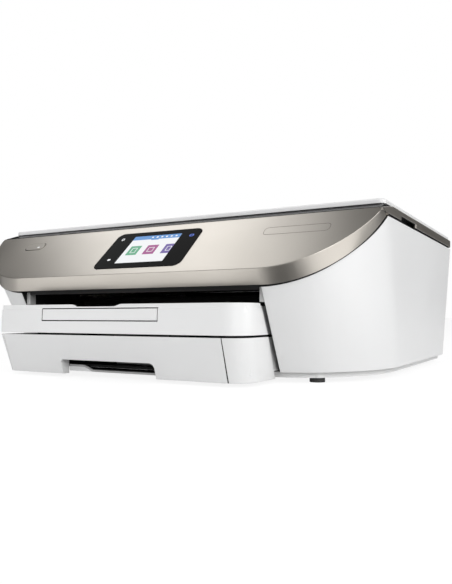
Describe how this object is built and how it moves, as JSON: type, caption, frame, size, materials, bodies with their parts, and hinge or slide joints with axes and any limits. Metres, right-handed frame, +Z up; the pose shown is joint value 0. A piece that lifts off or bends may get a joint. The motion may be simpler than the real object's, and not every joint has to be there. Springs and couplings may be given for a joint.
{
  "type": "inkjet printer",
  "caption": "Compact home inkjet printer with a flatbed scanner lid, a sloping touch panel, a lift-up scanner unit, stacked paper trays and a sliding ink carriage inside.",
  "frame": {"origin": "on the table under the middle of the machine", "axes": "+X to the right seen from the front, +Y to the rear, +Z up"},
  "size_m": [0.454, 0.414, 0.1605],
  "materials": {
    "white_plastic": "fine satin moulded white",
    "champagne_paint": "warm champagne metallic paint, satin",
    "black_plastic": "fine textured black",
    "dark_gloss": "glossy dark grey",
    "grey_plastic": "light grey moulded",
    "rubber": "matt black rubber",
    "steel": "rolled steel",
    "circuit_board": "solder mask",
    "foam_pad": "white foam sheet",
    "display_glass": "black glossy cover glass",
    "scanner_glass": "clear float glass",
    "socket_metal": "plated metal"
  },
  "bodies": {
    "chassis": {"base_casing": "white_plastic", "base_plate": "white_plastic", "rubber_feet": "rubber", "plate_screws": "steel", "side_frame_left": "black_plastic", "side_frame_right": "black_plastic", "gear_bracket": "black_plastic", "print_deck": "black_plastic", "throat_pillars": "grey_plastic", "rear_cover": "white_plastic", "power_inlet": "black_plastic", "usb_port": "socket_metal", "main_board": "circuit_board", "power_supply": "black_plastic", "platen": "black_plastic", "feed_motor": "steel", "rear_guide": "black_plastic", "carriage_rail": "steel", "guide_rod": "steel", "encoder_strip": "grey_plastic", "carriage_motor": "steel", "timing_belt": "rubber", "service_station": "grey_plastic"},
    "feed_roller_body": {"feed_roller": "rubber", "feed_gear": "grey_plastic"},
    "idler_gear_body": {"idler_gear": "grey_plastic"},
    "exit_roller_body": {"exit_roller": "rubber", "exit_gear": "grey_plastic"},
    "feed_pinion_body": {"feed_pinion": "socket_metal"},
    "pick_arm_body": {"pick_arm": "black_plastic"},
    "pick_roller_body": {"pick_roller": "rubber"},
    "carriage": {"print_carriage": "black_plastic", "black_cartridge": "black_plastic", "colour_cartridge": "grey_plastic", "cartridge_latches": "grey_plastic"},
    "drive_pulley_body": {"drive_pulley": "socket_metal"},
    "idler_pulley_body": {"idler_pulley": "grey_plastic"},
    "paper_tray_body": {"paper_tray": "white_plastic"},
    "tray_flap_body": {"tray_flap": "white_plastic"},
    "width_guide_right_body": {"width_guide_right": "grey_plastic"},
    "width_guide_left_body": {"width_guide_left": "grey_plastic"},
    "guide_pinion_body": {"guide_pinion": "grey_plastic"},
    "length_guide_body": {"length_guide": "grey_plastic"},
    "output_tray_body": {"output_tray": "white_plastic"},
    "tray_extender_body": {"tray_extender": "white_plastic"},
    "scanner_unit": {"front_panel": "champagne_paint", "display_glass": "display_glass", "display_module": "black_plastic", "scanner_frame": "dark_gloss", "scanner_glass": "scanner_glass", "scanner_tub": "black_plastic", "scan_rod": "steel"},
    "power_button_body": {"power_button": "champagne_paint"},
    "scan_bar_body": {"scan_bar": "black_plastic"},
    "lid": {"scanner_lid": "white_plastic", "lid_pad": "foam_pad"}
  },
  "joints": [
    {"name": "scanner_unit_hinge", "type": "hinge", "parent": "chassis", "child": "scanner_unit", "pos_m": [0, 0.2042, 0.146], "axis": [-1, 0, 0], "range_deg": [0, 40]},
    {"name": "lid_hinge", "type": "hinge", "parent": "scanner_unit", "child": "lid", "pos_m": [0, 0.2048, 0.1582], "axis": [-1, 0, 0], "range_deg": [0, 80]},
    {"name": "power_button_press", "type": "slide", "parent": "scanner_unit", "child": "power_button_body", "axis": [0, 0.6547, -0.7559], "range_m": [0, 0.001], "stiffness_N_per_m": 500},
    {"name": "scan_bar_slide", "type": "slide", "parent": "scanner_unit", "child": "scan_bar_body", "axis": [1, 0, 0], "range_m": [0, 0.262]},
    {"name": "carriage_slide", "type": "slide", "parent": "chassis", "child": "carriage", "axis": [1, 0, 0], "range_m": [-0.28, 0]},
    {"name": "drive_pulley_spin", "type": "hinge", "parent": "chassis", "child": "drive_pulley_body", "pos_m": [0.195, 0.02, 0.0971], "axis": [0, 0, 1], "range_deg": [-2920, 0]},
    {"name": "idler_pulley_spin", "type": "hinge", "parent": "chassis", "child": "idler_pulley_body", "pos_m": [-0.195, 0.02, 0.0971], "axis": [0, 0, 1], "range_deg": [-2920, 0]},
    {"name": "feed_roller_spin", "type": "hinge", "parent": "chassis", "child": "feed_roller_body", "pos_m": [0, -0.004, 0.074], "axis": [1, 0, 0], "continuous": true},
    {"name": "idler_gear_spin", "type": "hinge", "parent": "chassis", "child": "idler_gear_body", "pos_m": [-0.1825, -0.043, 0.074], "axis": [1, 0, 0], "continuous": true},
    {"name": "exit_roller_spin", "type": "hinge", "parent": "chassis", "child": "exit_roller_body", "pos_m": [0, -0.082, 0.074], "axis": [1, 0, 0], "continuous": true},
    {"name": "feed_pinion_spin", "type": "hinge", "parent": "chassis", "child": "feed_pinion_body", "pos_m": [-0.1825, 0.019, 0.074], "axis": [1, 0, 0], "continuous": true},
    {"name": "pick_arm_swing", "type": "hinge", "parent": "chassis", "child": "pick_arm_body", "pos_m": [0, 0.06, 0.058], "axis": [1, 0, 0], "range_deg": [-20, 0]},
    {"name": "pick_roller_spin", "type": "hinge", "parent": "pick_arm_body", "child": "pick_roller_body", "pos_m": [0, 0.092, 0.0505], "axis": [1, 0, 0], "continuous": true},
    {"name": "paper_tray_slide", "type": "slide", "parent": "chassis", "child": "paper_tray_body", "axis": [0, -1, 0], "range_m": [0, 0.15]},
    {"name": "tray_flap_hinge", "type": "hinge", "parent": "paper_tray_body", "child": "tray_flap_body", "pos_m": [0, -0.1905, 0.007], "axis": [1, 0, 0], "range_deg": [0, 70]},
    {"name": "width_guide_right_slide", "type": "slide", "parent": "paper_tray_body", "child": "width_guide_right_body", "axis": [-1, 0, 0], "range_m": [0, 0.055]},
    {"name": "width_guide_left_slide", "type": "slide", "parent": "paper_tray_body", "child": "width_guide_left_body", "axis": [1, 0, 0], "range_m": [0, 0.055]},
    {"name": "guide_pinion_spin", "type": "hinge", "parent": "paper_tray_body", "child": "guide_pinion_body", "pos_m": [0, -0.01, 0.0141], "axis": [0, 0, 1], "range_deg": [0, 400]},
    {"name": "length_guide_slide", "type": "slide", "parent": "paper_tray_body", "child": "length_guide_body", "axis": [0, 1, 0], "range_m": [0, 0.06]},
    {"name": "output_tray_slide", "type": "slide", "parent": "chassis", "child": "output_tray_body", "axis": [0, -1, 0], "range_m": [0, 0.06]},
    {"name": "extender_slide", "type": "slide", "parent": "output_tray_body", "child": "tray_extender_body", "axis": [0, -1, 0], "range_m": [0, 0.095]}
  ],
  "couplings": [
    {"joint": "drive_pulley_spin", "follows": "carriage_slide", "rad_per_m": 175.44},
    {"joint": "idler_pulley_spin", "follows": "carriage_slide", "rad_per_m": 175.44},
    {"joint": "idler_gear_spin", "follows": "feed_roller_spin", "ratio": -0.77273},
    {"joint": "exit_roller_spin", "follows": "feed_roller_spin", "ratio": 1},
    {"joint": "feed_pinion_spin", "follows": "feed_roller_spin", "ratio": -2.8333},
    {"joint": "width_guide_left_slide", "follows": "width_guide_right_slide", "ratio": 1},
    {"joint": "guide_pinion_spin", "follows": "width_guide_right_slide", "rad_per_m": 125}
  ]
}
